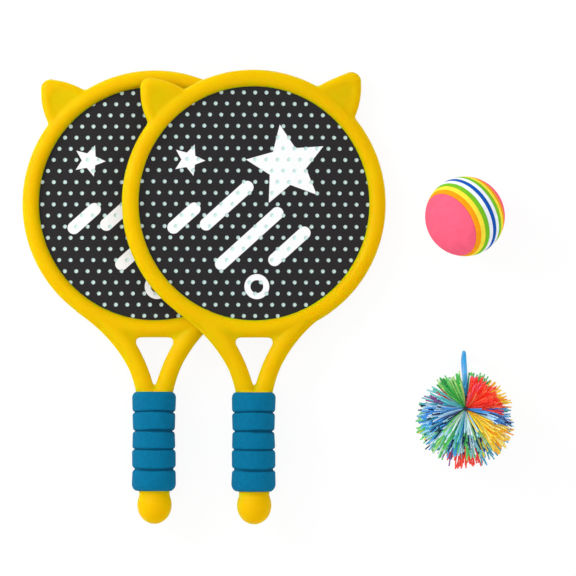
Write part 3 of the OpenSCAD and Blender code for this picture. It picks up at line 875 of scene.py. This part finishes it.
def strand_curve(name, looks, materials):
    """The strands of a bundle, drawn at random over its wedge and coloured by zone."""
    turn = BUNDLES[name]
    draw = random.Random(f"bundle {name}")
    curve = bpy.data.curves.new(name, "CURVE")
    curve.dimensions = "3D"
    curve.bevel_depth = looks.strand_r * MILLI
    curve.bevel_resolution = 1
    curve.use_fill_caps = True
    order = list(RUBBER)
    for colour in order:
        curve.materials.append(materials[colour])
    for _ in range(looks.strands):
        rise = math.degrees(math.asin(draw.uniform(*RISE_SINES)))
        at = (turn + WEDGE * draw.uniform(-0.5, 0.5)) % 360
        thickness, reach, upper, lower = next(zone[1:] for zone in ZONES if at < zone[0])
        on_top = rise > draw.uniform(*TOP_FROM)
        line = strand_line(draw, at, rise, reach if on_top else 1.0)
        if draw.random() > thickness or in_loop(line, LOOP_D / 2 + looks.strand_r + LOOP_CLEAR):
            continue
        palette = upper if on_top else lower
        spline = curve.splines.new("POLY")
        spline.points.add(len(line) - 1)
        spline.material_index = order.index(draw.choice(palette))
        for i, (spot, point) in enumerate(zip(spline.points, line)):
            spot.co = (*(MM @ Matrix.Translation(CORE_AT) @ point), 1)
            spot.radius = ROOT_THICKNESS + (1 - ROOT_THICKNESS) * i / (len(line) - 1)
    return curve


def curve_bmesh(curve):
    """The mesh of a curve, which is used up."""
    holder = bpy.data.objects.new(curve.name, curve)
    bpy.context.scene.collection.objects.link(holder)
    dressed = holder.evaluated_get(bpy.context.evaluated_depsgraph_get())
    mesh = bpy.data.meshes.new_from_object(dressed)
    bm = bmesh.new()
    bm.from_mesh(mesh)
    bpy.data.objects.remove(holder)
    bpy.data.curves.remove(curve)
    bpy.data.meshes.remove(mesh)
    return bm


def core_wedge(turn):
    """The wedge of the core that a bundle grows from, closed at its two cuts."""
    core = bmesh.new()
    bmesh.ops.create_uvsphere(core, u_segments=48, v_segments=24, radius=1.0)
    bmesh.ops.scale(core, vec=(CORE_R, CORE_R, CORE_HALF_H), verts=core.verts)
    for side in (-1, 1):
        edge = heading(turn + side * (WEDGE / 2 + 90), 0)
        cut = bmesh.ops.bisect_plane(core, geom=[*core.verts, *core.edges, *core.faces], dist=TINY,
                                     plane_co=(0, 0, 0), plane_no=edge, clear_outer=True)
        rim = [item for item in cut["geom_cut"] if isinstance(item, bmesh.types.BMEdge)]
        bmesh.ops.edgenet_fill(core, edges=rim)
    bmesh.ops.recalc_face_normals(core, faces=core.faces)
    bmesh.ops.transform(core, matrix=MM @ Matrix.Translation(CORE_AT), verts=core.verts)
    return core


def strand_bundle(name, looks, materials):
    """A bundle's strands as one mesh in its place, its wedge of the core included."""
    bm = curve_bmesh(strand_curve(name, looks, materials))
    core = core_wedge(BUNDLES[name])
    for face in core.faces:
        face.material_index = len(RUBBER)
    join(bm, core)
    core.free()
    return bm


# Stage

def add_camera(scene):
    """A camera straight above that sees the photo's frame."""
    camera = bpy.data.objects.new("camera", bpy.data.cameras.new("camera"))
    camera.data.lens = LENS
    camera.data.sensor_width = SENSOR_W
    height = PHOTO_PX * PIXEL_MM * LENS / SENSOR_W
    camera.location = MM @ (Vector(AIM) + Vector((0, 0, height)))
    scene.collection.objects.link(camera)
    scene.camera = camera


def add_lamp(scene, looks):
    """A soft lamp at the upper left."""
    lamp_data = bpy.data.lights.new("soft_lamp", "AREA")
    lamp_data.energy = looks.lamp_power
    lamp_data.size = LAMP_SIZE
    lamp = bpy.data.objects.new("soft_lamp", lamp_data)
    toward = Vector(LAMP_WAY).normalized()
    lamp.location = toward * LAMP_FAR
    lamp.rotation_euler = toward.to_track_quat("Z", "Y").to_euler()
    scene.collection.objects.link(lamp)


def add_sky(scene, looks):
    """An even sky, which the camera sees as white."""
    world = bpy.data.worlds.new("even_sky")
    world.use_nodes = True
    tree = world.node_tree
    back = tree.nodes["Background"]
    back.inputs["Color"].default_value = (1, 1, 1, 1)
    rays = add(tree, "ShaderNodeLightPath")
    seen = number(tree, "MAXIMUM", rays.outputs["Is Camera Ray"], rays.outputs["Is Transmission Ray"])
    strength = add(tree, "ShaderNodeMapRange", {"Value": seen, "To Min": looks.sky_strength, "To Max": 1.0})
    tree.links.new(strength.outputs[0], back.inputs["Strength"])
    scene.world = world


def floor_paper(looks):
    """White paper that shows only a share of the shadows on it."""
    material, tree, shader = start_material("floor_paper", 0.9)
    shader.inputs["Specular IOR Level"].default_value = 0.0
    rays = add(tree, "ShaderNodeLightPath")
    mirrored = number(tree, "MAXIMUM", rays.outputs["Is Glossy Ray"], rays.outputs["Is Transmission Ray"])
    seen = number(tree, "MAXIMUM", rays.outputs["Is Camera Ray"], mirrored)
    paper = mixed(tree, seen, looks.floor_colour, shade(looks.floor_colour, looks.shadow))
    tree.links.new(paper, shader.inputs["Base Color"])
    shader.inputs["Emission Color"].default_value = (1, 1, 1, 1)
    glow = number(tree, "MULTIPLY", seen, 1 - GLOW_LOSS * looks.shadow)
    tree.links.new(glow, shader.inputs["Emission Strength"])
    return material


def add_floor(scene, looks):
    """A plain floor just below the set."""
    bm = bmesh.new()
    bmesh.ops.create_grid(bm, x_segments=8, y_segments=8, size=FLOOR_HALF)
    mesh = bpy.data.meshes.new("floor")
    bm.to_mesh(mesh)
    bm.free()
    floor = bpy.data.objects.new("floor", mesh)
    floor.location.z = -FLOOR_DROP
    scene.collection.objects.link(floor)
    mesh.materials.append(floor_paper(looks))


# Operators

class RACKETSET_OT_stage(bpy.types.Operator):
    """Camera straight above, soft lamp at the upper left, even sky and a white floor"""

    bl_idname = "racket_set.stage"
    bl_label = "Stage"

    def execute(self, context):
        scene = context.scene
        looks = scene.racket_stage
        scene.view_settings.view_transform = "Standard"
        add_camera(scene)
        add_lamp(scene, looks)
        add_sky(scene, looks)
        add_floor(scene, looks)
        return {"FINISHED"}


class RACKETSET_OT_finger_loop(bpy.types.Operator):
    """Finger loop of the string ball, one rubber cord from the core and back"""

    bl_idname = "racket_set.finger_loop"
    bl_label = "Finger loop"

    def execute(self, context):
        looks = context.scene.racket_balls
        curve = bpy.data.curves.new("string_ball_loop", "CURVE")
        curve.dimensions = "3D"
        curve.bevel_depth = LOOP_D / 2 * MILLI
        curve.bevel_resolution = 5
        curve.resolution_u = 6
        curve.use_fill_caps = True
        spline = curve.splines.new("BEZIER")
        spline.bezier_points.add(len(LOOP_ROUTE) - 1)
        for spot, point in zip(spline.bezier_points, LOOP_ROUTE):
            spot.co = MM @ Matrix.Translation(CORE_AT) @ Vector(point)
            spot.handle_left_type = "AUTO"
            spot.handle_right_type = "AUTO"
        curve.materials.append(rubber("loop_rubber", looks.loop_colour, glow=0.0))
        loop = bpy.data.objects.new("string_ball_loop", curve)
        context.scene.collection.objects.link(loop)
        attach(loop, "string_ball")
        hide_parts("finger_loop")
        return {"FINISHED"}


class RACKETSET_OT_frames(bpy.types.Operator):
    """Moulded frames of both rackets, each in a front and a back half"""

    bl_idname = "racket_set.frames"
    bl_label = "Racket frames"

    def execute(self, context):
        looks = context.scene.racket_looks
        plastic = moulded_plastic(looks)
        skin = racket_frame(looks)
        for side, place in LAYS.items():
            for facing, sign in (("front", 1), ("back", -1)):
                half = half_of(skin, sign)
                bmesh.ops.transform(half, matrix=place, verts=half.verts)
                add_piece(f"{side}_frame_{facing}", half, [plastic], f"{side}_racket", "frame_yellow",
                          f"{side}_{facing}_shell")
        skin.free()
        return {"FINISHED"}


class RACKETSET_OT_faces(bpy.types.Operator):
    """Perforated skins of the hitting faces and the pale sheet between them"""

    bl_idname = "racket_set.faces"
    bl_label = "Hitting faces"

    def execute(self, context):
        looks = context.scene.racket_looks
        sheet = core_sheet(looks)
        for side in LAYS:
            paint_node(f"{side}_front_skin", face_skin(looks, side, True))
            paint_node(f"{side}_back_skin", face_skin(looks, side, False))
            paint_node(f"{side}_face_core", sheet)
        return {"FINISHED"}


class RACKETSET_OT_grips(bpy.types.Operator):
    """Banded foam sleeves on the handles"""

    bl_idname = "racket_set.grips"
    bl_label = "Foam grips"

    def execute(self, context):
        looks = context.scene.racket_looks
        for side, place in LAYS.items():
            sleeve = grip_sleeve()
            bmesh.ops.transform(sleeve, matrix=place, verts=sleeve.verts)
            piece = add_piece(f"{side}_grip_sleeve", sleeve, [grip_foam(looks, side)], f"{side}_racket",
                              "grip_foam", f"{side}_foam_grip")
        return {"FINISHED"}


class RACKETSET_OT_foam_ball(bpy.types.Operator):
    """Striped ball of foam layers glued face to face"""

    bl_idname = "racket_set.foam_ball"
    bl_label = "Foam ball"

    def execute(self, context):
        looks = context.scene.racket_balls
        colours = dict.fromkeys(colour for _, colour in FOAM_LAYERS)
        sponges = {colour: foam(f"{colour}_foam", getattr(looks, colour), cells=1100, glow=0.14)
                   for colour in colours}
        for index, (name, colour) in enumerate(FOAM_LAYERS):
            piece = add_piece(f"ball_{name}", foam_slice(index), [sponges[colour]], "foam_ball",
                              f"foam_{colour}", f"foam_{name}")
        return {"FINISHED"}


class RACKETSET_OT_string_ball(bpy.types.Operator):
    """Bundles of rubber strands round the core"""

    bl_idname = "racket_set.string_ball"
    bl_label = "String ball"

    def execute(self, context):
        looks = context.scene.racket_balls
        materials = {name: rubber(f"{name}_rubber", tint(*colour), glow=0.17)
                     for name, colour in RUBBER.items()}
        dark = rubber("core_rubber", tint(*CORE_DARK), glow=0.0)
        for name in BUNDLES:
            bundle = strand_bundle(name, looks, materials)
            add_piece(f"bundle_{name}", bundle, [*materials.values(), dark], "string_ball", f"rubber_{name}",
                      f"strands_{name}")
        paint_node("core_tie", dark)
        return {"FINISHED"}


class RACKETSET_PT_panel(bpy.types.Panel):
    """Sizes, colours and steps of the racket set"""

    bl_idname = "RACKETSET_PT_panel"
    bl_label = "Racket Set"
    bl_space_type = "VIEW_3D"
    bl_region_type = "UI"
    bl_category = "Racket Set"

    def draw(self, context):
        for holder in ("racket_looks", "racket_balls", "racket_stage"):
            looks = getattr(context.scene, holder)
            for key in looks.__annotations__:
                self.layout.prop(looks, key)
        for step in STEPS:
            self.layout.operator(step.bl_idname)


STEPS = (
    RACKETSET_OT_stage,
    RACKETSET_OT_finger_loop,
    RACKETSET_OT_frames,
    RACKETSET_OT_faces,
    RACKETSET_OT_grips,
    RACKETSET_OT_foam_ball,
    RACKETSET_OT_string_ball,
)
CLASSES = (RacketLooks, BallLooks, StageLooks, *STEPS, RACKETSET_PT_panel)


def register():
    for cls in CLASSES:
        bpy.utils.register_class(cls)
    bpy.types.Scene.racket_looks = bpy.props.PointerProperty(type=RacketLooks)
    bpy.types.Scene.racket_balls = bpy.props.PointerProperty(type=BallLooks)
    bpy.types.Scene.racket_stage = bpy.props.PointerProperty(type=StageLooks)


def unregister():
    for holder in ("racket_looks", "racket_balls", "racket_stage"):
        delattr(bpy.types.Scene, holder)
    for cls in reversed(CLASSES):
        bpy.utils.unregister_class(cls)


def main():
    register()
    for step in STEPS:
        group, name = step.bl_idname.split(".")
        getattr(getattr(bpy.ops, group), name)()


if __name__ == "__main__":
    main()
